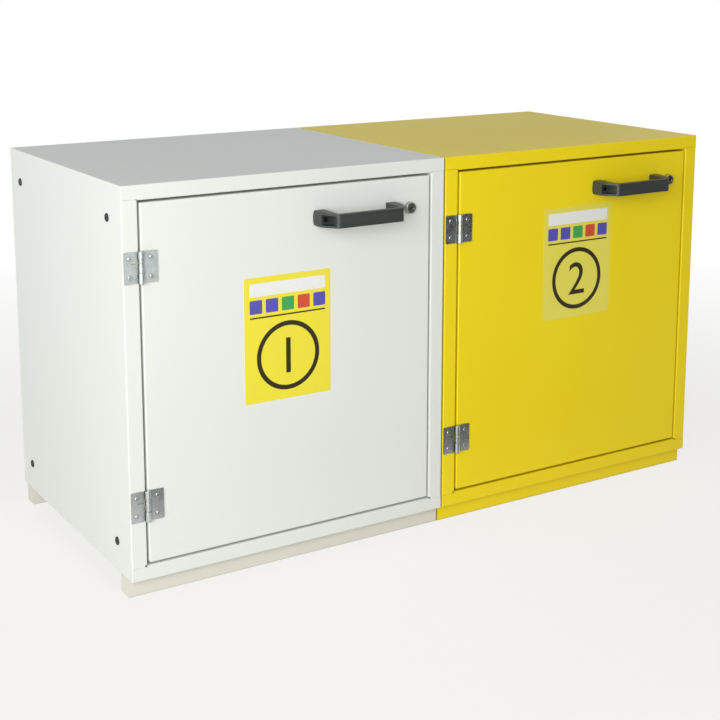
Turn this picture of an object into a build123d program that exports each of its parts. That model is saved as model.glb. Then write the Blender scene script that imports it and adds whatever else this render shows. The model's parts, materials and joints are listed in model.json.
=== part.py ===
from build123d import *
import os

# Two equal safety cabinets joined side by side: a white unit on the left and a yellow one on the right.
# One unit is built by itself: x runs from its left face, y from its front face to the back and z up
# from the floor. It is then placed twice. The pair's origin lies on the floor, in the middle of the
# pair from left to right and from the handles to the exhaust collars. Sizes are in millimetres.

# Outer size of one unit
unit_width = 600.0
body_depth = 526.0
body_height = 643.0
unit_gap = 3.0

# Base rails
rail_height = 31.0
rail_depth = 33.0
rail_setback = 15.0
rail_wall = 2.0
rail_edge = 3.0

# Casing sheets and the frame round the door
sheet = 1.2
bend_radius = 2.0
frame_width = 27.0
frame_height = 24.5
lip_height = 22.5
seam = 0.3
rear_flange = 15.0
edge_round = 0.9
lower_relief_width = 4.0
lower_relief_height = 3.5
upper_relief_width = 2.0

# Liner and insulation
liner_sheet = 1.0
back_wall = 27.0
board_front = 8.0
board_clearance = 1.0

# Door, its seal and the stop frame behind it
door_gap = 4.0
door_thickness = 30.0
door_corner = 2.5
door_air_gap = 7.0
stop_width = 20.0
seal_width = 12.0
seal_inset = 2.0
seal_space = 4.0
seal_clearance = 0.3
seal_edge = 1.2

# Hinges
hinge_height = 50.0
hinge_drop = 104.0
hinge_rise = 101.0
leaf_thickness = 2.0
leaf_reach = 28.0
leaf_corner = 1.5
knuckle_radius = 4.5
door_knuckle_radius = 3.8
knuckle_clearance = 0.9
knuckle_round = 0.5
upper_knuckle = 11.5
washer_height = 6.5
door_knuckle = 16.0
hinge_play = 0.1
leaf_slit_length = 11.0
leaf_slit_height = 1.3
pin_radius = 2.5
pin_head_radius = 3.5
pin_head_height = 1.0
washer_radius = 3.7
running_clearance = 0.05

# Rivets
rivet_radius = 2.0
rivet_head_radius = 3.6
rivet_head_height = 1.0
rivet_head_round = 0.8
rivet_tail_radius = 3.0
rivet_tail_height = 2.0
rivet_dimple_radius = 1.4
rivet_dimple_depth = 1.5
rivet_from_edge = 10.0
hole_clearance = 0.1

# Bridge handle
handle_drop = 81.5
handle_to_lock = 26.0
handle_length = 165.0
handle_projection = 52.0
foot_width = 22.0
foot_height = 26.0
foot_rim = 6.0
foot_bulge = 2.0
foot_corner = 3.0
leg_slope = 20.0
leg_bend = 5.0
leg_bend_depth = 31.0
leg_bend_round = 30.0
bar_depth = 9.0
bar_height = 23.4
bar_corner = 4.5
bar_knee = 5.0
handle_edge = 0.8
recess_floor = 22.0
recess_end = 48.5
recess_rim = 3.1
recess_wall = 3.5
recess_corner = 2.5
screw_in = 9.5
screw_radius = 2.5
screw_head_radius = 4.0
screw_head_height = 3.0
screw_head_round = 1.0
screw_socket = 2.3
screw_socket_depth = 1.8
screw_end = 1.5
nut_radius = 4.6
nut_height = 4.0

# Cam lock
lock_from_right = 73.0
lock_rim_radius = 10.8
lock_face_radius = 9.4
lock_proud = 7.0
lock_edge = 1.0
barrel_radius = 9.0
barrel_length = 37.4
plug_radius = 5.4
plug_head_radius = 6.2
plug_head_height = 1.6
plug_recess = 1.2
key_slot_length = 8.0
key_slot_width = 1.8
key_slot_depth = 4.0
key_slot_turn = 30.0
lock_nut_radius = 13.0
lock_nut_height = 4.0
cam_gap = 0.1
cam_thickness = 2.5
cam_boss_radius = 9.0
cam_width = 14.0
cam_reach = 41.0
cam_corner = 3.0
cam_square = 7.0
cam_screw_radius = 2.0
cam_screw_length = 8.0
cam_screw_head_radius = 4.6
cam_screw_head_height = 2.8

# Shelf, its clips and the spill tray
shelf_level = 300.0
shelf_front = 60.0
shelf_rear_gap = 5.0
shelf_lip = 22.0
inside_gap = 1.0
clip_width = 20.0
clip_drop = 25.0
clip_reach = 14.0
clip_sheet = 1.5
clip_from_front = 110.0
clip_from_back = 96.0
tray_height = 40.0
tray_corner = 6.0
tray_gap = 3.0

# Exhaust collar
collar_radius = 37.5
collar_wall = 1.5
collar_length = 30.0
collar_drop = 123.0
collar_flange = 12.0
collar_clearance = 0.2

# Holes in the side faces, the bolts between the units and the plugs outside
side_hole_radius = 5.0
side_hole_from_front = 57.6
side_hole_from_back = 51.0
side_hole_drop = 57.0
side_hole_rise = 52.0
plug_cap_radius = 7.0
plug_cap_height = 2.0
plug_cap_round = 1.2
plug_dimple_radius = 2.6
plug_dimple_depth = 0.5
plug_stem_length = 6.0
bolt_radius = 4.0
bolt_head_radius = 7.5
bolt_head_height = 5.3
bolt_nut_height = 6.5
bolt_end = 2.0
spacer_radius = 8.0
pocket_radius = 9.5
pocket_depth = 14.0

# Places that follow from the sizes above
body_floor = rail_height
body_top = rail_height + body_height
opening_left = frame_width
opening_right = unit_width - frame_width
opening_floor = body_floor + frame_height
opening_top = body_top - frame_height
stile_floor = body_floor + lip_height + seam
stile_top = body_top - lip_height - seam
door_left = opening_left + door_gap
door_right = opening_right - door_gap
door_floor = opening_floor + door_gap
door_top = opening_top - door_gap
stop_front = door_thickness + seal_space
stop_back = stop_front + sheet
room_back = body_depth - back_wall
collar_back = body_depth + collar_length
shelf_floor = opening_floor + shelf_level
hinge_x = opening_left + door_gap / 2
hinge_y = -knuckle_radius
hinge_floors = (body_floor + hinge_rise, body_top - hinge_drop - hinge_height)
handle_level = body_top - handle_drop
lock_x = unit_width - lock_from_right
handle_left = lock_x - handle_to_lock - handle_length
lock_place = (lock_x, handle_level)
cam_front = barrel_length + cam_gap
cam_back = cam_front + cam_thickness
side_hole_depths = (side_hole_from_front, body_depth - side_hole_from_back)
side_hole_levels = (body_floor + side_hole_rise, body_top - side_hole_drop)
clip_depths = (clip_from_front, body_depth - clip_from_back)
collar_place = (unit_width / 2, body_top - collar_drop)
pair_front = (handle_projection - collar_back) / 2


def block(x, y, z):
    """A box between the low and the high value on each axis."""
    size = (x[1] - x[0], y[1] - y[0], z[1] - z[0])
    return Pos(x[0], y[0], z[0]) * Box(*size, align=(Align.MIN, Align.MIN, Align.MIN))


def along(axis, place, span, shape):
    """A shape made round the z axis, laid along an axis between two values. place gives the others."""
    middle = (span[0] + span[1]) / 2
    if axis == "x":
        return Pos(middle, place[0], place[1]) * Rot(0, 90, 0) * shape
    if axis == "y":
        return Pos(place[0], middle, place[1]) * Rot(-90, 0, 0) * shape
    return Pos(place[0], place[1], middle) * shape


def rod(axis, place, radius, span):
    """A round bar."""
    return along(axis, place, span, Cylinder(radius, span[1] - span[0]))


def hexagon(axis, place, radius, span):
    """A six-sided bar, measured over its corners."""
    length = span[1] - span[0]
    return along(axis, place, span, Pos(0, 0, -length / 2) * extrude(RegularPolygon(radius, 6), length))


def folded(points):
    """The section of a folded sheet. The points run clockwise round its outer side."""
    path = FilletPolyline(*points, radius=bend_radius)
    return make_face(offset(path, sheet, side=Side.RIGHT, closed=True))


def same(value, target):
    """True where two lengths agree."""
    return abs(value - target) < 0.01


def edges_at(solid, axis, value):
    """The edges that lie in one plane square to an axis."""
    return [edge for edge in solid.edges() if same(getattr(edge.bounding_box().min, axis), value)
            and same(getattr(edge.bounding_box().max, axis), value)]


def cut(solid, tools):
    """The solid with each tool taken away."""
    for tool in tools:
        solid = solid - tool
    return solid


def turned(solid):
    """The solid mirrored from the left of the unit to the right."""
    return mirror(solid, about=Plane.YZ.offset(unit_width / 2))


def side_hole_places():
    """Where the four holes in a side face are."""
    return [(y, z) for y in side_hole_depths for z in side_hole_levels]


def rivet_places(side):
    """Where the rivets go through the leaves on one side of the hinge line: -1 the stile, 1 the door."""
    x = hinge_x + side * (leaf_reach - rivet_from_edge)
    lifts = (rivet_from_edge, hinge_height - rivet_from_edge)
    return [(x, floor + lift) for floor in hinge_floors for lift in lifts]


def rivet_holes(side):
    """Bars for the rivet holes in a leaf and in the sheet behind it."""
    return [rod("y", place, rivet_radius + hole_clearance, (-leaf_thickness, sheet)) for place in rivet_places(side)]


def handle_screw_places():
    """Where the two screws hold the handle, one in each foot."""
    ends = (handle_left + screw_in, handle_left + handle_length - screw_in)
    return [(x, handle_level) for x in ends]


def handle_screw_holes(span):
    return [rod("y", place, screw_radius + hole_clearance, span) for place in handle_screw_places()]


def top_cover():
    """The top sheet with its folded lips. Between the stiles the front lip also folds inwards."""
    lip_floor = body_top - lip_height
    over = [(0, body_top), (body_depth, body_top), (body_depth, lip_floor)]
    plain = folded([(0, lip_floor)] + over)
    rail = folded([(stop_front, opening_top), (0, opening_top)] + over)
    cover = extrude(Plane.YZ * plain, unit_width)
    rim = []
    for edge in edges_at(cover, "X", 0) + edges_at(cover, "X", unit_width):
        middle = edge.center()
        bent = edge.geom_type == GeomType.CIRCLE and same(edge.radius, bend_radius)
        if bent or same(middle.Y, 0) or same(middle.Y, body_depth) or same(middle.Z, body_top):
            rim.append(edge)
    cover = fillet(rim, edge_round)
    return cover + extrude(Plane.YZ.offset(opening_left) * rail, opening_right - opening_left)


def bottom_panel():
    """The bottom sheet: the top cover's shape upside down."""
    return mirror(top_cover(), about=Plane.XY.offset((body_floor + body_top) / 2))


def side_sheet():
    """The left side sheet, folded into the stile and the wall of the door opening, with a rear flange."""
    plan = folded([(opening_left, stop_front), (opening_left, 0), (0, 0), (0, body_depth), (rear_flange, body_depth)])
    side = Pos(0, 0, stile_floor) * extrude(plan, stile_top - stile_floor)
    web = block((0, sheet), (sheet, body_depth - sheet), (body_floor + sheet, body_top - sheet))
    side = side + fillet(web.edges().filter_by(Axis.X), bend_radius)
    lower_relief = (stile_floor, stile_floor + lower_relief_height)
    side = side - block((opening_left - lower_relief_width, opening_left), (0, stop_front), lower_relief)
    side = side - block((opening_left - upper_relief_width, opening_left), (0, stop_front), (opening_top, stile_top))
    return cut(side, [rod("x", place, side_hole_radius, (0, sheet)) for place in side_hole_places()])


def back_panel():
    width = (bend_radius, unit_width - bend_radius)
    height = (body_floor + bend_radius, body_top - bend_radius)
    panel = block(width, (body_depth - 2 * sheet, body_depth - sheet), height)
    return panel - collar_hole(collar_clearance)


def collar_hole(clearance):
    """A bar through the back wall, wider than the collar by the clearance."""
    return rod("y", collar_place, collar_radius + clearance, (room_back, collar_back))


def insulation():
    """Five boards that fill the casing: both sides, top, bottom and back."""
    depth = (board_front, body_depth - 2 * sheet)
    inner = opening_left - sheet
    height = (opening_floor - sheet, opening_top + sheet)
    side = block((sheet, inner), depth, height)
    pockets = [rod("x", place, pocket_radius, (sheet, sheet + pocket_depth)) for place in side_hole_places()]
    side = cut(side, pockets)
    top = block((sheet, unit_width - sheet), depth, (height[1], body_top - sheet))
    bottom = block((sheet, unit_width - sheet), depth, (body_floor + sheet, height[0]))
    back = block((inner, unit_width - inner), (room_back + liner_sheet, depth[1]), height)
    return [side, turned(side), top, bottom, back - collar_hole(board_clearance)]


def liner():
    """Five flat sheets that close the room inside: both sides, top, bottom and back."""
    depth = (stop_back, room_back + liner_sheet)
    width = (opening_left - liner_sheet, opening_right + liner_sheet)
    height = (opening_floor, opening_top)
    side = block((width[0], opening_left), depth, height)
    top = block(width, depth, (opening_top, opening_top + liner_sheet))
    bottom = block(width, depth, (opening_floor - liner_sheet, opening_floor))
    back = block((opening_left, opening_right), (room_back, depth[1]), height)
    return [side, turned(side), top, bottom, back - collar_hole(collar_clearance)]


def ring(x, y, z, width):
    """A flat frame of one width inside the given values."""
    return block(x, y, z) - block((x[0] + width, x[1] - width), y, (z[0] + width, z[1] - width))


def door_stop():
    """The frame behind the door, welded to the folded walls of the opening."""
    x = (opening_left - sheet, opening_right + sheet)
    z = (opening_floor - sheet, opening_top + sheet)
    return ring(x, (stop_front, stop_back), z, stop_width + sheet)


def door_seal():
    """The soft seal on the stop frame, a little clear of the closed door."""
    x = (door_left + seal_inset, door_right - seal_inset)
    z = (door_floor + seal_inset, door_top - seal_inset)
    front = door_thickness + seal_clearance
    seal = ring(x, (front, stop_front), z, seal_width)
    return fillet(edges_at(seal, "Y", front), seal_edge)


def base_rails():
    """Two channels with closed ends, mouth up against the bottom panel."""
    rails = []
    for front in (rail_setback, body_depth - rail_setback - rail_depth):
        rail = block((0, unit_width), (front, front + rail_depth), (0, rail_height))
        rail = fillet([edge for edge in edges_at(rail, "Z", 0) if edge.length > rail_depth], rail_edge)
        width = (rail_wall, unit_width - rail_wall)
        depth = (front + rail_wall, front + rail_depth - rail_wall)
        rails.append(rail - block(width, depth, (rail_wall, rail_height)))
    return rails


def exhaust_collar():
    """The duct collar through the back wall, with its flange on the back panel."""
    pipe = rod("y", collar_place, collar_radius, (room_back, collar_back))
    flange = rod("y", collar_place, collar_radius + collar_flange, (body_depth - sheet, body_depth))
    return pipe + flange - rod("y", collar_place, collar_radius - collar_wall, (room_back, collar_back))


def shelf():
    """A folded shelf with its front and rear lips down."""
    back = room_back - shelf_rear_gap
    top = shelf_floor + sheet
    section = folded([(shelf_front, top - shelf_lip), (shelf_front, top), (back, top), (back, top - shelf_lip)])
    left = opening_left + inside_gap
    return extrude(Plane.YZ.offset(left) * section, unit_width - 2 * left)


def shelf_clips():
    """Four angle clips on the side walls of the liner. The shelf rests on their tongues."""
    clips = []
    for middle in clip_depths:
        depth = (middle - clip_width / 2, middle + clip_width / 2)
        plate = block((opening_left, opening_left + clip_sheet), depth, (shelf_floor - clip_drop, shelf_floor))
        tongue = block((opening_left, opening_left + clip_reach), depth, (shelf_floor - clip_sheet, shelf_floor))
        clips += [plate + tongue, turned(plate + tongue)]
    return clips


def spill_tray():
    """An open tray on the floor of the room."""
    left = opening_left + inside_gap
    width = (left, unit_width - left)
    depth = (stop_back + tray_gap, room_back - tray_gap)
    outer = block(width, depth, (opening_floor, opening_floor + tray_height))
    outer = fillet(outer.edges().filter_by(Axis.Z), tray_corner)
    inner = block((width[0] + sheet, width[1] - sheet), (depth[0] + sheet, depth[1] - sheet),
                  (opening_floor + sheet, opening_floor + tray_height))
    return outer - fillet(inner.edges().filter_by(Axis.Z), tray_corner - sheet)


def knuckle_spans(floor):
    """The heights of a hinge's lower knuckle, door knuckle, washer and upper knuckle."""
    top = floor + hinge_height
    washer_top = top - upper_knuckle
    washer_floor = washer_top - washer_height
    lower_top = washer_floor - door_knuckle
    return {"lower": (floor, lower_top), "door": (lower_top, washer_floor - hinge_play),
            "washer": (washer_floor, washer_top), "upper": (washer_top, top)}


def hinge_leaf(floor, side, spans, radius):
    """One leaf: a plate beside the hinge line and, at each span, a knuckle that joins it."""
    far = hinge_x + side * leaf_reach
    near = hinge_x + side * (knuckle_radius + knuckle_clearance)
    plate = block(sorted((far, near)), (-leaf_thickness, 0), (floor, floor + hinge_height))
    leaf = fillet([edge for edge in plate.edges().filter_by(Axis.Y) if same(edge.center().X, far)], leaf_corner)
    for span in spans:
        leaf = leaf + block(sorted((near, hinge_x)), (-leaf_thickness, 0), span)
        knuckle = rod("z", (hinge_x, hinge_y), radius, span)
        leaf = leaf + fillet(knuckle.edges().filter_by(GeomType.CIRCLE), knuckle_round)
    leaf = leaf - rod("z", (hinge_x, hinge_y), pin_radius + running_clearance, (floor, floor + hinge_height))
    return cut(leaf, rivet_holes(side))


def hinge_frame_leaves():
    """The leaves on the stile. A slit below the washer parts the upper knuckle's strip from the plate."""
    near = hinge_x - knuckle_radius - knuckle_clearance
    made = []
    for floor in hinge_floors:
        spans = knuckle_spans(floor)
        leaf = hinge_leaf(floor, -1, (spans["lower"], spans["upper"]), knuckle_radius)
        level = spans["washer"][0]
        slit = block((near - leaf_slit_length, near), (-leaf_thickness, 0), (level - leaf_slit_height, level))
        made.append(leaf - slit)
    return made


def hinge_door_leaves():
    """The leaves on the door, each with one narrower knuckle."""
    return [hinge_leaf(floor, 1, (knuckle_spans(floor)["door"],), door_knuckle_radius) for floor in hinge_floors]


def hinge_pins():
    """A headed pin and a washer for each hinge."""
    place = (hinge_x, hinge_y)
    made = []
    for floor in hinge_floors:
        top = floor + hinge_height
        washer_span = knuckle_spans(floor)["washer"]
        pin = rod("z", place, pin_radius, (floor, top))
        pin = pin + rod("z", place, pin_head_radius, (floor - pin_head_height, floor))
        pin = pin + rod("z", place, pin_head_radius, (top, top + pin_head_height))
        washer = rod("z", place, washer_radius, washer_span)
        washer = fillet(washer.edges().filter_by(GeomType.CIRCLE), knuckle_round)
        made += [pin, washer - rod("z", place, pin_radius + running_clearance, washer_span)]
    return made


def rivets(side):
    """Headed rivets through the leaves into the sheet, with the formed tail behind it."""
    made = []
    for place in rivet_places(side):
        front = -leaf_thickness - rivet_head_height
        head = rod("y", place, rivet_head_radius, (front, -leaf_thickness))
        head = fillet(edges_at(head, "Y", front), rivet_head_round)
        head = head - rod("y", place, rivet_dimple_radius, (front, front + rivet_dimple_depth))
        shank = rod("y", place, rivet_radius, (-leaf_thickness, sheet))
        tail = rod("y", place, rivet_tail_radius, (sheet, sheet + rivet_tail_height))
        made.append(head + shank + tail)
    return made


def door_skin():
    """The outer skin of the door: a folded pan that is open at the back."""
    pan = block((door_left, door_right), (0, door_thickness), (door_floor, door_top))
    pan = fillet(pan.edges().filter_by(Axis.Y), door_corner)
    pan = fillet(edges_at(pan, "Y", 0), bend_radius)
    pan = pan - block((door_left + sheet, door_right - sheet), (sheet, door_thickness),
                      (door_floor + sheet, door_top - sheet))
    pan = pan - rod("y", lock_place, barrel_radius + hole_clearance, (0, sheet))
    return cut(pan, rivet_holes(1) + handle_screw_holes((0, sheet)))


def door_layer(front, back, clearance):
    """A flat layer that fills the pan, with a hole for the lock."""
    layer = block((door_left + sheet, door_right - sheet), (front, back), (door_floor + sheet, door_top - sheet))
    return layer - rod("y", lock_place, barrel_radius + clearance, (front, back))


def door_liner():
    """The flat sheet that closes the back of the door."""
    return door_layer(door_thickness - liner_sheet, door_thickness, hole_clearance)


def door_core():
    """The insulation board, behind an air gap that clears the nuts and the rivets."""
    return door_layer(sheet + door_air_gap, door_thickness - liner_sheet, board_clearance)


def handle():
    """The bridge handle: a bar on two wedge legs, each with a deep recess in its bowed outer slope."""
    end = handle_length
    reach = -handle_projection
    bar_back = reach + bar_depth
    above = make_face(Polyline((0, 0), (0, -foot_rim), (leg_bend, -leg_bend_depth), (leg_slope, reach),
                               (end - leg_slope, reach), (end - leg_bend, -leg_bend_depth), (end, -foot_rim),
                               (end, 0), (end - foot_width, 0), (end - foot_width, bar_back),
                               (foot_width, bar_back), (foot_width, 0), close=True))
    above = fillet([corner for corner in above.vertices() if same(corner.Y, bar_back)], bar_corner)
    above = fillet([corner for corner in above.vertices() if same(corner.Y, reach)], bar_knee)
    above = fillet([corner for corner in above.vertices() if same(corner.Y, -leg_bend_depth)], leg_bend_round)
    body = extrude(Plane.XY.offset(-foot_height) * above, 2 * foot_height)
    beside = make_face(Polyline((0, -foot_height / 2), (reach, -bar_height / 2), (reach, bar_height / 2),
                                (0, foot_height / 2), close=True))
    body = body & extrude(Plane.YZ * beside, end)
    body = body & handle_front(end)
    body = fillet([edge for edge in body.edges() if not same(edge.bounding_box().max.Y, 0)], handle_edge)
    rim = bar_height / 2 - recess_rim
    recess = block((-foot_rim, foot_width - recess_wall), (-recess_end, -recess_floor), (-rim, rim))
    recess = fillet(recess.edges().filter_by(Axis.X), recess_corner)
    body = body - recess - mirror(recess, about=Plane.YZ.offset(end / 2))
    return cut(Pos(handle_left, 0, handle_level) * body, handle_screw_holes((-handle_projection, 0)))


def handle_front(end):
    """The handle's outline from the front, with bulged ends, as deep as the handle."""
    half = foot_height / 2
    outline = (Line((foot_bulge, half), (end - foot_bulge, half))
               + ThreePointArc((end - foot_bulge, half), (end, 0), (end - foot_bulge, -half))
               + Line((end - foot_bulge, -half), (foot_bulge, -half))
               + ThreePointArc((foot_bulge, -half), (0, 0), (foot_bulge, half)))
    outline = make_face(outline)
    outline = fillet(outline.vertices(), foot_corner)
    return extrude(Plane.XZ * outline, handle_projection)


def screw(place, axis_span, radius, head_radius, head_height):
    """A screw along y that points to the back, with a rounded head in front and a six-sided socket."""
    front = axis_span[0] - head_height
    head = rod("y", place, head_radius, (front, axis_span[0]))
    head = fillet(edges_at(head, "Y", front), screw_head_round)
    socket = hexagon("y", place, screw_socket, (front, front + screw_socket_depth))
    return head + rod("y", place, radius, axis_span) - socket


def handle_screws():
    """The two screws, each with its nut behind the skin."""
    made = []
    for place in handle_screw_places():
        nut_span = (sheet, sheet + nut_height)
        made.append(screw(place, (-recess_floor, nut_span[1] + screw_end), screw_radius, screw_head_radius,
                          screw_head_height))
        nut = hexagon("y", place, nut_radius, nut_span)
        made.append(nut - rod("y", place, screw_radius + running_clearance, nut_span))
    return made


def lock_housing():
    """The lock's rim and barrel, bored for the plug."""
    front = -lock_proud
    rim = along("y", lock_place, (front, 0), Cone(lock_face_radius, lock_rim_radius, lock_proud))
    rim = fillet(edges_at(rim, "Y", front), lock_edge)
    housing = rim + rod("y", lock_place, barrel_radius, (0, barrel_length))
    housing = housing - rod("y", lock_place, plug_radius + running_clearance, (front, barrel_length))
    seat = (front, front + plug_recess + plug_head_height)
    return housing - rod("y", lock_place, plug_head_radius + running_clearance, seat)


def lock_nut():
    span = (door_thickness, door_thickness + lock_nut_height)
    nut = hexagon("y", lock_place, lock_nut_radius, span)
    return nut - rod("y", lock_place, barrel_radius + running_clearance, span)


def lock_plug():
    """The plug that the key turns, with its key slot in front and a square for the cam behind."""
    front = plug_recess - lock_proud
    plug = rod("y", lock_place, plug_head_radius, (front, front + plug_head_height))
    plug = plug + rod("y", lock_place, plug_radius, (front + plug_head_height, cam_front))
    plug = plug + centred_block(cam_square, cam_square, (cam_front, cam_back))
    slot = centred_block(key_slot_length, key_slot_width, (front, front + key_slot_depth))
    plug = plug - slot.rotate(Axis((lock_x, 0, handle_level), (0, 1, 0)), -key_slot_turn)
    hole = (cam_back - cam_screw_length, cam_back)
    return plug - rod("y", lock_place, cam_screw_radius + running_clearance, hole)


def centred_block(width, height, depth):
    """A box on the lock's axis."""
    x, z = lock_place
    return block((x - width / 2, x + width / 2), depth, (z - height / 2, z + height / 2))


def lock_cam():
    """The cam on the plug's square. At rest it hangs down, clear of the stop frame."""
    x, z = lock_place
    depth = (cam_front, cam_back)
    arm = block((x - cam_width / 2, x + cam_width / 2), depth, (z - cam_reach, z))
    tip = [edge for edge in arm.edges().filter_by(Axis.Y) if same(edge.center().Z, z - cam_reach)]
    cam = fillet(tip, cam_corner) + rod("y", lock_place, cam_boss_radius, depth)
    hole = cam_square + 2 * running_clearance
    return cam - centred_block(hole, hole, depth)


def cam_screw():
    shank = rod("y", lock_place, cam_screw_radius, (cam_back - cam_screw_length, cam_back))
    return shank + rod("y", lock_place, cam_screw_head_radius, (cam_back, cam_back + cam_screw_head_height))


def side_plugs():
    """Round plugs for the holes in the left side face."""
    made = []
    for place in side_hole_places():
        cap = rod("x", place, plug_cap_radius, (-plug_cap_height, 0))
        cap = fillet(edges_at(cap, "X", -plug_cap_height), plug_cap_round)
        cap = cap - rod("x", place, plug_dimple_radius, (-plug_cap_height, plug_dimple_depth - plug_cap_height))
        made.append(cap + rod("x", place, side_hole_radius - hole_clearance, (0, plug_stem_length)))
    return made


def joining_bolts():
    """Bolts through the facing sides of both units, with a nut and a spacer. x is 0 between the units."""
    outer = unit_gap / 2 + sheet
    made = []
    for place in side_hole_places():
        bolt = hexagon("x", place, bolt_head_radius, (-outer - bolt_head_height, -outer))
        bolt = bolt + rod("x", place, bolt_radius, (-outer, outer + bolt_nut_height + bolt_end))
        nut = hexagon("x", place, bolt_head_radius, (outer, outer + bolt_nut_height))
        spacer = rod("x", place, spacer_radius, (-unit_gap / 2, unit_gap / 2))
        bore = rod("x", place, bolt_radius + running_clearance, (-outer, outer + bolt_nut_height))
        made += [bolt, nut - bore, spacer - bore]
    return made


def unit():
    """The pieces of one unit, by name."""
    return {
        "top_cover": [top_cover()],
        "left_side": [cut(side_sheet(), rivet_holes(-1))],
        "right_side": [turned(side_sheet())],
        "back_panel": [back_panel()],
        "bottom_panel": [bottom_panel()],
        "insulation": insulation(),
        "liner": liner(),
        "door_stop": [door_stop()],
        "door_seal": [door_seal()],
        "shelf": [shelf()],
        "shelf_clips": shelf_clips(),
        "spill_tray": [spill_tray()],
        "base_rails": base_rails(),
        "exhaust_collar": [exhaust_collar()],
        "hinge_frame_leaves": hinge_frame_leaves(),
        "hinge_pins": hinge_pins(),
        "frame_rivets": rivets(-1),
        "door_skin": [door_skin()],
        "door_liner": [door_liner()],
        "door_core": [door_core()],
        "hinge_door_leaves": hinge_door_leaves(),
        "door_rivets": rivets(1),
        "handle": [handle()],
        "handle_screws": handle_screws(),
        "lock_housing": [lock_housing()],
        "lock_nut": [lock_nut()],
        "lock_plug": [lock_plug()],
        "lock_cam": [lock_cam()],
        "cam_screw": [cam_screw()],
    }


def save(name, left, solids):
    """Writes one node, moved to its place in the pair."""
    placed = [Pos(left, pair_front, 0) * solid for solid in solids]
    export_step(Compound(placed), f"parts/{name}.step")


os.makedirs("parts", exist_ok=True)
white_left = -unit_gap / 2 - unit_width
yellow_left = unit_gap / 2
pieces = unit()
for colour, left in (("white", white_left), ("yellow", yellow_left)):
    for name, solids in pieces.items():
        save(f"{colour}_{name}", left, solids)
save("joining_bolts", 0, joining_bolts())
left_plugs = side_plugs()
right_plugs = [Pos(yellow_left - white_left, 0, 0) * turned(plug) for plug in left_plugs]
save("side_plugs", white_left, left_plugs + right_plugs)
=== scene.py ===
import json
import math

import bmesh
import bpy
from mathutils import Matrix, Vector


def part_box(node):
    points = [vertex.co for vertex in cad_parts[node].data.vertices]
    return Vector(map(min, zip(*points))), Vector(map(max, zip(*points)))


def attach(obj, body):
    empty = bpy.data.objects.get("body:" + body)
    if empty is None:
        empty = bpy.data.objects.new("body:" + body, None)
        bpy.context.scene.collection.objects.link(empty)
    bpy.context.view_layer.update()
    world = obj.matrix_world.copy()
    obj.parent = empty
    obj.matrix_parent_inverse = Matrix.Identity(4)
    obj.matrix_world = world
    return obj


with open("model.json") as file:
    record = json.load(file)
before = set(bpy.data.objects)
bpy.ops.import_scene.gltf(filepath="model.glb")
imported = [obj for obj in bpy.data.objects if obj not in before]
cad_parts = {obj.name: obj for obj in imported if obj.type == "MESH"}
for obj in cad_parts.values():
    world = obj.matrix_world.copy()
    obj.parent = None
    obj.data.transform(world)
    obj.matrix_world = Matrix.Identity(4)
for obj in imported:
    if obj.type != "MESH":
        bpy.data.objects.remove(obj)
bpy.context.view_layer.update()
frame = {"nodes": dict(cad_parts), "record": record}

# The two units of the pair, from left to right, and the numeral on each unit's card
UNITS = {"white": "1", "yellow": "2"}
MM = 0.001

# Cards on the doors: left and lower edge from the unit's left face and from the floor
CARD_PLACES = {"white": (206.5 * MM, 292.5 * MM), "yellow": (222.5 * MM, 349 * MM)}
CARD_WIDTH = 162 * MM
CARD_HEIGHT = 212 * MM
CARD_CORNER = 2 * MM
FILM_THICKNESS = 0.3 * MM
INK_THICKNESS = 0.1 * MM
RING_CENTRE = (81 * MM, 74 * MM)
RING_OUTER = 59 * MM
RING_INNER = 51 * MM
NUMERAL_SIZE = 88 * MM
RULE_LEVEL = 143 * MM
RULE_HEIGHT = 2.5 * MM
CARD_MARGIN = 10 * MM
STRIP_FLOOR = 180 * MM
STRIP_HEIGHT = 22 * MM
SWATCH = 23 * MM
SWATCH_FLOOR = 151 * MM
SWATCH_INKS = (3, 3, 4, 5, 3)

# Fasteners that only show from behind or with a door open
REAR_RIVET_EDGE = 7.5 * MM
REAR_LIP_EDGE = 11 * MM
REAR_RIVET_RADIUS = 3.2 * MM
REAR_RIVET_HEIGHT = 1.1 * MM
REAR_RIVET_ENDS = 60 * MM
REAR_LIP_ENDS = 50 * MM
REAR_RIVETS_PER_SIDE = 5
LINER_SCREW_INSET = 24 * MM
LINER_SCREWS_PER_SIDE = 4
LINER_SCREW_RADIUS = 3.6 * MM
LINER_SCREW_HEIGHT = 1.5 * MM

# Pins in the plugs of the side faces, whose holes are measured from the front face and from the floor
PLUG_PIN_RADIUS = 2.4 * MM
PLUG_PIN_HEIGHT = 0.45 * MM
PLUG_DIMPLE_DEPTH = 0.5 * MM
SIDE_HOLE_DEPTHS = (57.6 * MM, 475 * MM)
SIDE_HOLE_LEVELS = (83 * MM, 617 * MM)

# How far the shelter of a seam in the paint and of a joint in metal reaches, and the colour of the dust and painted
# shade in the joints
SEAM_REACH = 5 * MM
JOINT_REACH = 7 * MM
JOINT_DUST_AND_SHADE = "#33382F"

# Gloss of the casings' coat, and how many millimetres apart its drawn peel is
CASING_ROUGHNESS = 0.42
CASING_PEEL = 4.5

# Camera
CAMERA_PLACE = (-1.39008, -2.21772, 1.00799)
CAMERA_LENS = 69.758
CAMERA_TURN = math.radians(-31.739)
CAMERA_TILT = math.radians(-10.316)
CAMERA_SHIFT = -0.2

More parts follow.
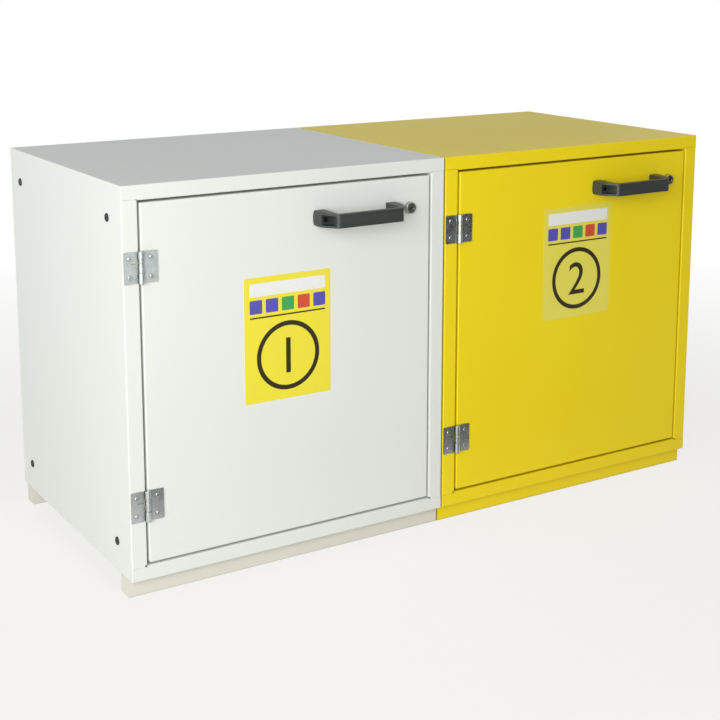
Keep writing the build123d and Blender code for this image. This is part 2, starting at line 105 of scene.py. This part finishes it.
# Stage: the lamp, the floor, which turns white between two distances from the pair, and the flags, each with
# its place, the point that it faces and its size
KEY_PLACE = (-2.8, -2.55, 1.3)
KEY_AIM = (-0.1, 0, 0.33)
KEY_SIZE = (2.5, 2.2)
KEY_POWER = 131
EVEN_LIGHT = 0.4
FLOOR_SIZE = 30
FLOOR_DROP = 0.2 * MM
FLOOR_FADE = (0.9, 2.4)
FLOOR_GLOW = 0.76
FLAGS = {
    "upright_flag": ((1.15, -1.43, 0.7), (0.35, -0.38, 0.7), (1.9, 1.4)),
    "rear_flag": ((0.7, 1.9, 1.5), (0.1, 0, 0.67), (3, 0.4)),
    "floor_flag": ((0.2, -0.8, 0.01), (0.2, -0.8, 1), (1.26, 0.6)),
}


def srgb(code):
    """A colour written as sRGB hex, as linear values."""
    parts = [int(code[start:start + 2], 16) / 255 for start in (1, 3, 5)]
    return [*(part / 12.92 if part <= 0.04045 else ((part + 0.055) / 1.055) ** 2.4 for part in parts), 1]


def per_metre(size):
    """The scale of a pattern whose marks are this many millimetres apart."""
    return 1000 / size


def node(tree, kind, values=None, **settings):
    """Adds a node. A value is a number or colour for the socket, or another node's output to link to it."""
    made = tree.nodes.new(kind)
    for name, setting in settings.items():
        setattr(made, name, setting)
    for socket, value in (values or {}).items():
        if isinstance(value, bpy.types.NodeSocket):
            tree.links.new(value, made.inputs[socket])
        else:
            made.inputs[socket].default_value = value
    return made


def finish(name, **values):
    """A new material with one surface shader. Gives the material, its tree, its shader and its coordinates."""
    material = bpy.data.materials.new(name)
    material.use_nodes = True
    tree = material.node_tree
    shader = tree.nodes["Principled BSDF"]
    for socket, value in values.items():
        shader.inputs[socket.replace("_", " ")].default_value = value
    return material, tree, shader, node(tree, "ShaderNodeTexCoord").outputs["Object"]


def connect(tree, shader, **outputs):
    """Links outputs of other nodes to the shader's sockets."""
    for socket, output in outputs.items():
        tree.links.new(output, shader.inputs[socket.replace("_", " ")])


def noise(tree, place, size, detail):
    """Soft noise whose marks are this many millimetres apart."""
    made = node(tree, "ShaderNodeTexNoise", {"Vector": place, "Scale": per_metre(size), "Detail": detail})
    return made.outputs["Fac"]


def drawn_out(tree, place, share):
    """Coordinates that draw a pattern out along X."""
    return node(tree, "ShaderNodeMapping", {"Vector": place, "Scale": (share, 1, 1)}).outputs["Vector"]


def blend(tree, share, low, high):
    """A colour between two others, each of them sRGB hex or another node's output."""
    low, high = (srgb(colour) if isinstance(colour, str) else colour for colour in (low, high))
    return node(tree, "ShaderNodeMix", {"Factor": share, 6: low, 7: high}, data_type="RGBA").outputs[2]


def span(tree, share, low, high):
    """A value from low to high, for a share from 0 to 1."""
    return node(tree, "ShaderNodeMapRange", {"Value": share, "To Min": low, "To Max": high}).outputs["Result"]


def relief(tree, height, strength, depth, **below):
    """The normal of a surface with these heights, laid over the Normal of another relief if one is given."""
    values = {"Height": height, "Strength": strength, "Distance": depth, **below}
    return node(tree, "ShaderNodeBump", values).outputs["Normal"]


def openness(tree, reach, closed, clear):
    """1 where a surface lies open and 0 deep in a seam, a fold or a joint, from ambient occlusion. The
    finishes paint shade with it.
    """
    shelter = node(tree, "ShaderNodeAmbientOcclusion", {"Distance": reach}, samples=6)
    share = node(tree, "ShaderNodeMapRange", {"Value": shelter.outputs["AO"], "From Min": closed, "From Max": clear})
    return share.outputs["Result"]


def powder_coat(name, colour, thin_colour, primer_and_shade, roughness=CASING_ROUGHNESS, peel=CASING_PEEL):
    """Polyester powder, sprayed and baked on sheet steel. It gives the eye a satin skin with a faint orange
    peel and, where the big flat sheets bow a little, slow waves in what they mirror. In seams and folds ambient
    occlusion blends in the primer colour: painted shade, drawn as a thin spray that shows the primer. Real
    orange peel is 1 to 2 mm wide and is drawn coarser, so that it shows."""
    material, tree, shader, place = finish(name, IOR=1.42)
    bow = noise(tree, place, 240, 1)
    grain = noise(tree, place, peel, 3)
    film = blend(tree, bow, colour, thin_colour)
    sheet = relief(tree, bow, 0.5, 0.7 * MM)
    # Seams and folds take the seam colour where ambient occlusion finds shelter: painted shade.
    connect(tree, shader,
            Base_Color=blend(tree, openness(tree, SEAM_REACH, 0.2, 0.62), primer_and_shade, film),
            Roughness=span(tree, grain, roughness - 0.04, roughness + 0.04),
            Normal=relief(tree, grain, 0.3, 0.06 * MM, Normal=sheet))
    return material


def zinc_plate(name, bright, dull, roughness):
    """Electroplated zinc on rolled steel. It gives the eye a soft grey metal with cloudy spangle, fine
    rolling lines and, in its joints, dark oily dust together with painted shade from ambient occlusion. The
    lines are drawn at 1.5 mm because the real ones are too fine to show."""
    material, tree, shader, place = finish(name, Metallic=1)
    cloud = noise(tree, place, 9, 4)
    lines = noise(tree, drawn_out(tree, place, 0.04), 1.5, 2)
    tint = blend(tree, cloud, bright, dull)
    # Joints darken towards the dust colour by ambient occlusion: dust and painted shade.
    connect(tree, shader,
            Base_Color=blend(tree, openness(tree, JOINT_REACH, 0.35, 0.95), JOINT_DUST_AND_SHADE, tint),
            Roughness=span(tree, cloud, roughness - 0.1, roughness + 0.1),
            Normal=relief(tree, lines, 0.35, 0.05 * MM))
    return material


def turned_metal(name, bright, dull, roughness):
    """Turned or headed metal with a bright finish. It gives the eye a ring of light, cloudy traces of handling
    and, in its holes and steps, dark dust together with painted shade from ambient occlusion."""
    material, tree, shader, place = finish(name, Metallic=1)
    handling = noise(tree, place, 4, 3)
    tint = blend(tree, handling, bright, dull)
    # Holes and steps darken towards the dust colour by ambient occlusion: dust and painted shade.
    connect(tree, shader,
            Base_Color=blend(tree, openness(tree, JOINT_REACH, 0.3, 0.7), JOINT_DUST_AND_SHADE, tint),
            Roughness=span(tree, handling, roughness - 0.06, roughness + 0.08),
            Normal=relief(tree, handling, 0.2, 0.04 * MM))
    return material


def glass_filled_nylon():
    """Black nylon with glass fibre, injection moulded in a spark-eroded mould. It gives the eye a dark satin
    grain with faint pale flow lines along the bar. The grain is drawn at 1 mm, coarser than the real one."""
    material, tree, shader, place = finish("glass_filled_nylon", IOR=1.53)
    flow = noise(tree, drawn_out(tree, place, 0.06), 3, 3)
    grain = noise(tree, place, 1, 2)
    connect(tree, shader,
            Base_Color=blend(tree, flow, "#232826", "#3B4240"),
            Roughness=span(tree, flow, 0.36, 0.52),
            Normal=relief(tree, grain, 0.4, 0.08 * MM))
    return material


def moulded(name, colour, worn, roughness):
    """A moulded rubber or plastic. It gives the eye a dull, even surface with a fine mould grain."""
    material, tree, shader, place = finish(name, IOR=1.5)
    bloom = noise(tree, place, 14, 3)
    grain = noise(tree, place, 1.2, 2)
    connect(tree, shader,
            Base_Color=blend(tree, bloom, colour, worn),
            Roughness=span(tree, bloom, roughness - 0.06, roughness + 0.06),
            Normal=relief(tree, grain, 0.4, 0.1 * MM))
    return material


def silicate_board():
    """Calcium silicate board, pressed and sawn. It gives the eye a chalky off-white with darker fibre flecks
    a few millimetres long."""
    material, tree, shader, place = finish("silicate_board", IOR=1.5, Roughness=0.9)
    flecks = node(tree, "ShaderNodeTexVoronoi", {"Vector": place, "Scale": per_metre(5)}).outputs["Distance"]
    share = node(tree, "ShaderNodeMapRange", {"Value": flecks, "From Max": 0.25, "To Min": 0.5, "To Max": 0})
    connect(tree, shader,
            Base_Color=blend(tree, share.outputs["Result"], "#DDD9CC", "#A69F8C"),
            Normal=relief(tree, flecks, 0.5, 0.3 * MM))
    return material


def vinyl_film(name, colour, faded):
    """Calendered vinyl film with a clear cover. It gives the eye a smooth gloss that is a little uneven where
    the film lies over the coat below."""
    material, tree, shader, place = finish(name, IOR=1.5)
    lie = noise(tree, place, 45, 2)
    connect(tree, shader,
            Base_Color=blend(tree, lie, colour, faded),
            Roughness=span(tree, lie, 0.26, 0.36),
            Normal=relief(tree, lie, 0.3, 0.2 * MM))
    return material


def ink(name, colour, thin):
    """Screen-printed ink on the film. It gives the eye a dense colour, a little thinner in places."""
    material, tree, shader, place = finish(name, IOR=1.5)
    lay = noise(tree, place, 6, 3)
    connect(tree, shader, Base_Color=blend(tree, lay, colour, thin), Roughness=span(tree, lay, 0.3, 0.42))
    return material


def dress_cad_nodes():
    """Gives every node of the frame the finish of its slot in the record. The white unit's rails get a darker,
    warmer copy of the same white, painted shade and warm floor bounce under the body's overhang."""
    finishes = {
        # The third colour of each coat is its seam colour, painted shade that ambient occlusion blends into seams
        # and folds.
        "white_paint": powder_coat("white_powder_coat", "#DFE3E0", "#DBE0DC", "#E6DEBC"),
        "yellow_paint": powder_coat("yellow_powder_coat", "#ECD612", "#E8D110", "#7C6208"),
        "liner_paint": powder_coat("liner_coat", "#E4E5E2", "#DFE1DD", "#B7B5A6", 0.48, 3.5),
        "tray_paint": powder_coat("tray_coat", "#C9CCCA", "#C3C7C5", "#A3A39A", 0.45, 3.5),
        "insulation_board": silicate_board(),
        "seal_rubber": moulded("seal_rubber", "#1C1C1B", "#292927", 0.7),
        "zinc_steel": zinc_plate("bright_zinc", "#C9CCCD", "#AEB2B4", 0.34),
        "black_zinc": zinc_plate("black_zinc", "#34393A", "#222626", 0.42),
        "hinge_zinc": zinc_plate("hinge_zinc", "#E0E6E6", "#BEC6C4", 0.28),
        "rivet_metal": turned_metal("rivet_aluminium", "#DCDEDD", "#C2C5C4", 0.28),
        "handle_nylon": glass_filled_nylon(),
        "lock_nickel": turned_metal("lock_nickel", "#C4C9C1", "#A1A79E", 0.29),
        "plug_plastic": moulded("plug_plastic", "#171A18", "#232725", 0.62),
    }
    # A darker, warmer copy of the white for the rails: painted shade and floor bounce.
    rails = powder_coat("white_rail_shaded_coat", "#D6D5CB", "#D2D1C6", "#CBC5AF")
    for part in frame["record"]["subparts"]:
        skin = rails if part["node"] == "white_base_rails" else finishes[part["material_slot"]]
        for material_slot in frame["nodes"][part["node"]].material_slots:
            material_slot.material = skin
    return finishes


def add_piece(name, shape, body, materials, smooth=False):
    """Makes an object of the mesh built in shape and sets it riding on a body."""
    bmesh.ops.recalc_face_normals(shape, faces=shape.faces)
    mesh = bpy.data.meshes.new(name)
    shape.to_mesh(mesh)
    shape.free()
    for material in materials:
        mesh.materials.append(material)
    if smooth:
        mesh.shade_smooth()
    piece = bpy.data.objects.new(name, mesh)
    bpy.context.scene.collection.objects.link(piece)
    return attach(piece, body)


def circle(centre, radius, steps):
    """Points round a circle on the card."""
    turns = [math.tau * step / steps for step in range(steps)]
    return [(centre[0] + radius * math.cos(turn), centre[1] + radius * math.sin(turn)) for turn in turns]


def rounded(left, floor, width, height, corner, steps=6):
    """The outline of a plate with rounded corners."""
    points = []
    for quarter, (x, z) in enumerate(((width - corner, height - corner), (corner, height - corner),
                                      (corner, corner), (width - corner, corner))):
        for step in range(steps + 1):
            turn = math.pi / 2 * (quarter + step / steps)
            points.append((left + x + corner * math.cos(turn), floor + z + corner * math.sin(turn)))
    return points


def add_plate(shape, outline, low, high, colour, hole=None):
    """A flat plate on the card, between two heights over the door. A hole has as many points as the outline."""
    layers = [[shape.verts.new((x, -lift, z)) for x, z in outline] for lift in (low, high)]
    count = len(outline)
    pairs = [(layers[0][i], layers[0][(i + 1) % count], layers[1][(i + 1) % count], layers[1][i])
             for i in range(count)]
    if hole:
        inner = [[shape.verts.new((x, -lift, z)) for x, z in hole] for lift in (low, high)]
        for i in range(count):
            after = (i + 1) % count
            pairs.append((inner[0][i], inner[0][after], inner[1][after], inner[1][i]))
            for outside, inside in zip(layers, inner):
                pairs.append((outside[i], outside[after], inside[after], inside[i]))
    else:
        pairs += [tuple(layer) for layer in layers]
    for corners in pairs:
        shape.faces.new(corners).material_index = colour


def add_numeral(shape, text, low, high, colour):
    """A plain numeral in the middle of the ring."""
    curve = bpy.data.curves.new("numeral", "FONT")
    curve.body = text
    curve.size = NUMERAL_SIZE
    curve.align_x = "CENTER"
    curve.align_y = "CENTER"
    curve.extrude = (high - low) / 2
    holder = bpy.data.objects.new("numeral", curve)
    mesh = bpy.data.meshes.new_from_object(holder)
    middle = (low + high) / 2
    box = [Vector(corner) for corner in holder.bound_box]
    centre = (box[0] + box[6]) / 2
    upright = Matrix.Rotation(math.pi / 2, 4, "X")
    mesh.transform(Matrix.Translation((RING_CENTRE[0], -middle, RING_CENTRE[1])) @ upright
                   @ Matrix.Translation(-centre))
    known = len(shape.faces)
    shape.from_mesh(mesh)
    shape.faces.ensure_lookup_table()
    for face in shape.faces[known:]:
        face.material_index = colour
    bpy.data.objects.remove(holder)
    bpy.data.curves.remove(curve)
    bpy.data.meshes.remove(mesh)


def unit_corner(unit):
    """The lower front left corner of a unit: its left face, the front of its door and the floor."""
    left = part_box(f"{unit}_top_cover")[0].x
    return Vector((left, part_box(f"{unit}_door_skin")[0].y, 0))


def add_card(unit, inks):
    """The plain number card on a door: a numeral in a ring under a row of swatches and a writing strip."""
    shape = bmesh.new()
    top = FILM_THICKNESS + INK_THICKNESS
    add_plate(shape, rounded(0, 0, CARD_WIDTH, CARD_HEIGHT, CARD_CORNER), 0, FILM_THICKNESS, 0)
    add_plate(shape, circle(RING_CENTRE, RING_OUTER, 96), FILM_THICKNESS, top, 1,
              hole=circle(RING_CENTRE, RING_INNER, 96))
    add_numeral(shape, UNITS[unit], FILM_THICKNESS, top, 1)
    across = CARD_WIDTH - 2 * CARD_MARGIN
    add_plate(shape, rounded(CARD_MARGIN, RULE_LEVEL, across, RULE_HEIGHT, RULE_HEIGHT / 2), FILM_THICKNESS, top, 1)
    add_plate(shape, rounded(CARD_MARGIN, STRIP_FLOOR, across, STRIP_HEIGHT, CARD_CORNER), FILM_THICKNESS, top, 2)
    pitch = (across - SWATCH) / (len(SWATCH_INKS) - 1)
    for step, colour in enumerate(SWATCH_INKS):
        outline = rounded(CARD_MARGIN + step * pitch, SWATCH_FLOOR, SWATCH, SWATCH, CARD_CORNER)
        add_plate(shape, outline, FILM_THICKNESS, top, colour)
    left, floor = CARD_PLACES[unit]
    shape.transform(Matrix.Translation(unit_corner(unit) + Vector((left, 0, floor))))
    add_piece(f"{unit}_number_card", shape, f"{unit}_door", inks)


def add_cards():
    """The two cards, each on its own film."""
    printed = [
        ink("black_ink", "#26220C", "#2E2A12"),
        ink("white_ink", "#E9EBEA", "#DEE1E0"),
        ink("blue_ink", "#4E49A8", "#5A55B2"),
        ink("green_ink", "#3D9A4B", "#48A556"),
        ink("red_ink", "#C9472F", "#D2523A"),
    ]
    films = {"white": vinyl_film("yellow_vinyl_film", "#EADD2B", "#E6DA44"),
             "yellow": vinyl_film("pale_vinyl_film", "#E3DA5C", "#DDD352")}
    for unit in UNITS:
        add_card(unit, [films[unit]] + printed)


def add_lathed(shape, profile, middle, forward, steps=24):
    """A round head on a middle point, which looks forward (-1) or back (1). Each ring of the profile has a
    radius, a height and True where it is six-sided."""
    rings = []
    for radius, height, six_sided in profile:
        ring = []
        for step in range(steps):
            turn = math.tau * step / steps
            reach = radius
            if six_sided:
                reach = radius * math.cos(math.pi / 6) / math.cos(turn % (math.pi / 3) - math.pi / 6)
            ring.append(shape.verts.new(middle + Vector((reach * math.cos(turn), forward * height,
                                                         reach * math.sin(turn)))))
        rings.append(ring)
    for low, high in zip(rings, rings[1:]):
        for step in range(steps):
            after = (step + 1) % steps
            shape.faces.new((low[step], low[after], high[after], high[step]))
    shape.faces.new(rings[0])
    shape.faces.new(rings[-1])


def spread(low, high, count):
    """Evenly spaced values from low to high."""
    return [low + (high - low) * step / (count - 1) for step in range(count)]


def add_rear_rivets(unit, metal):
    """Blind rivets that hold the back panel to the folded rear flanges and lips."""
    low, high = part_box(f"{unit}_top_cover")
    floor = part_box(f"{unit}_bottom_panel")[0].z
    radius, height = REAR_RIVET_RADIUS, REAR_RIVET_HEIGHT
    profile = [(radius, 0, False), (radius, 0.3 * height, False), (0.75 * radius, 0.85 * height, False),
               (0.42 * radius, height, False), (0.36 * radius, 0.9 * height, False),
               (0.36 * radius, 0.3 * height, False)]
    shape = bmesh.new()
    for x in (low.x + REAR_RIVET_EDGE, high.x - REAR_RIVET_EDGE):
        for z in spread(floor + REAR_RIVET_ENDS, high.z - REAR_RIVET_ENDS, REAR_RIVETS_PER_SIDE):
            add_lathed(shape, profile, Vector((x, high.y, z)), 1)
    for z in (floor + REAR_LIP_EDGE, high.z - REAR_LIP_EDGE):
        for x in spread(low.x + REAR_LIP_ENDS, high.x - REAR_LIP_ENDS, REAR_RIVETS_PER_SIDE):
            add_lathed(shape, profile, Vector((x, high.y, z)), 1)
    add_piece(f"{unit}_rear_rivets", shape, "cabinet", [metal], smooth=True)


def add_liner_screws(unit, metal):
    """Low screws round the inner sheet of the door, inside the seal."""
    low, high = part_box(f"{unit}_door_liner")
    radius, height = LINER_SCREW_RADIUS, LINER_SCREW_HEIGHT
    profile = [(radius, 0, False), (radius, 0.35 * height, False), (0.8 * radius, 0.85 * height, False),
               (0.55 * radius, height, False), (0.5 * radius, 0.95 * height, True),
               (0.5 * radius, 0.3 * height, True)]
    xs = spread(low.x + LINER_SCREW_INSET, high.x - LINER_SCREW_INSET, LINER_SCREWS_PER_SIDE)
    zs = spread(low.z + LINER_SCREW_INSET, high.z - LINER_SCREW_INSET, LINER_SCREWS_PER_SIDE)
    places = [(x, z) for x in xs for z in zs if x in (xs[0], xs[-1]) or z in (zs[0], zs[-1])]
    shape = bmesh.new()
    for x, z in places:
        add_lathed(shape, profile, Vector((x, high.y, z)), 1)
    add_piece(f"{unit}_door_liner_screws", shape, f"{unit}_door", [metal], smooth=True)


def add_plug_pins(metal):
    """The metal pin that spreads each plug and shows in its dimple. They are built facing forward and back and
    then turned to the sides."""
    low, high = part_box("side_plugs")
    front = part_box("white_top_cover")[0].y
    profile = [(PLUG_PIN_RADIUS, 0, False), (PLUG_PIN_RADIUS, 0.5 * PLUG_PIN_HEIGHT, False),
               (0.7 * PLUG_PIN_RADIUS, PLUG_PIN_HEIGHT, False)]
    shape = bmesh.new()
    for x, way in ((low.x + PLUG_DIMPLE_DEPTH, -1), (high.x - PLUG_DIMPLE_DEPTH, 1)):
        for depth in SIDE_HOLE_DEPTHS:
            for level in SIDE_HOLE_LEVELS:
                add_lathed(shape, profile, Vector((-front - depth, x, level)), way)
    shape.transform(Matrix.Rotation(-math.pi / 2, 4, "Z"))
    add_piece("side_plug_pins", shape, "cabinet", [metal], smooth=True)


def background_light(tree):
    """1 for the rays that see the background: from the camera, in a mirror and through a clear piece."""
    path = node(tree, "ShaderNodeLightPath")
    seen = path.outputs["Is Camera Ray"]
    for ray in ("Is Glossy Ray", "Is Transmission Ray"):
        seen = node(tree, "ShaderNodeMath", {0: seen, 1: path.outputs[ray]}, operation="MAXIMUM").outputs["Value"]
    return seen


def make_world():
    """White where it is seen, and a plain even light everywhere else."""
    world = bpy.data.worlds.new("studio")
    world.use_nodes = True
    tree = world.node_tree
    background = tree.nodes["Background"]
    background.inputs["Color"].default_value = srgb("#FFFFFF")
    tree.links.new(span(tree, background_light(tree), EVEN_LIGHT, 1), background.inputs["Strength"])
    bpy.context.scene.world = world


def flat_sheet(name, material, half):
    """A flat square sheet of a stage piece, which reaches this far from its middle."""
    shape = bmesh.new()
    bmesh.ops.create_grid(shape, x_segments=1, y_segments=1, size=half)
    mesh = bpy.data.meshes.new(name)
    shape.to_mesh(mesh)
    shape.free()
    mesh.materials.append(material)
    sheet = bpy.data.objects.new(name, mesh)
    bpy.context.scene.collection.objects.link(sheet)
    return sheet


def make_floor():
    """A pale floor that turns white away from the pair, so that it meets the background without a line."""
    material = bpy.data.materials.new("studio_floor")
    material.use_nodes = True
    tree = material.node_tree
    tree.nodes.remove(tree.nodes["Principled BSDF"])
    place = node(tree, "ShaderNodeTexCoord").outputs["Object"]
    far = node(tree, "ShaderNodeVectorMath", {0: place}, operation="LENGTH")
    fade = node(tree, "ShaderNodeMapRange", {"Value": far.outputs["Value"], "From Min": FLOOR_FADE[0],
                                             "From Max": FLOOR_FADE[1], "To Min": FLOOR_GLOW, "To Max": 1})
    share = node(tree, "ShaderNodeMath", {0: background_light(tree), 1: fade.outputs["Result"]},
                 operation="MULTIPLY")
    tint = blend(tree, noise(tree, place, 40, 3), "#D6D0C4", "#DCD7CB")
    matte = node(tree, "ShaderNodeBsdfDiffuse", {"Color": tint})
    white = node(tree, "ShaderNodeEmission", {"Color": srgb("#FFFFFF")})
    mixed = node(tree, "ShaderNodeMixShader", {0: share.outputs["Value"], 1: matte.outputs["BSDF"],
                                               2: white.outputs["Emission"]})
    tree.links.new(mixed.outputs["Shader"], tree.nodes["Material Output"].inputs["Surface"])
    floor = flat_sheet("studio_floor", material, FLOOR_SIZE / 2)
    floor.location.z = -FLOOR_DROP


def facing(place, aim):
    """The turn of a lamp or flag at a place that faces a point."""
    return (Vector(aim) - Vector(place)).to_track_quat("-Z", "Y").to_euler()


def add_softbox(name, place, aim, size, power):
    """A large soft lamp that faces a point."""
    lamp = bpy.data.lights.new(name, "AREA")
    lamp.shape = "RECTANGLE"
    lamp.size, lamp.size_y = size
    lamp.energy = power
    holder = bpy.data.objects.new(name, lamp)
    holder.location = place
    holder.rotation_euler = facing(place, aim)
    bpy.context.scene.collection.objects.link(holder)


def black_felt():
    """Felted black cloth. It gives the eye nothing but the dark that glossy faces mirror."""
    material, tree, shader, place = finish("black_felt", Roughness=0.95)
    connect(tree, shader, Base_Color=blend(tree, noise(tree, place, 6, 2), "#161616", "#242424"))
    return material


def add_flag(name, felt, place, aim, size):
    """A felt flag that only shows as the dark that glossy faces mirror, as a studio sets one."""
    flag = flat_sheet(name, felt, 0.5)
    flag.location = place
    flag.scale = (size[0], size[1], 1)
    flag.rotation_euler = facing(place, aim)
    flag.visible_camera = False
    flag.visible_diffuse = False
    flag.visible_transmission = False
    flag.visible_shadow = False


def make_camera():
    """The camera that was fitted to the corners of both units."""
    lens = bpy.data.cameras.new("camera")
    lens.sensor_width = 36
    lens.lens = CAMERA_LENS
    lens.shift_y = CAMERA_SHIFT
    camera = bpy.data.objects.new("camera", lens)
    camera.location = CAMERA_PLACE
    camera.rotation_euler = (math.pi / 2 + CAMERA_TILT, 0, CAMERA_TURN)
    bpy.context.scene.collection.objects.link(camera)
    bpy.context.scene.camera = camera


finishes = dress_cad_nodes()
add_cards()
for unit_name in UNITS:
    add_rear_rivets(unit_name, finishes["rivet_metal"])
    add_liner_screws(unit_name, finishes["zinc_steel"])
add_plug_pins(finishes["black_zinc"])
make_world()
make_floor()
add_softbox("key_softbox", KEY_PLACE, KEY_AIM, KEY_SIZE, KEY_POWER)
black_cloth = black_felt()
for flag_name, (flag_place, flag_aim, flag_size) in FLAGS.items():
    add_flag(flag_name, black_cloth, flag_place, flag_aim, flag_size)
make_camera()
bpy.context.scene.view_settings.view_transform = "Standard"
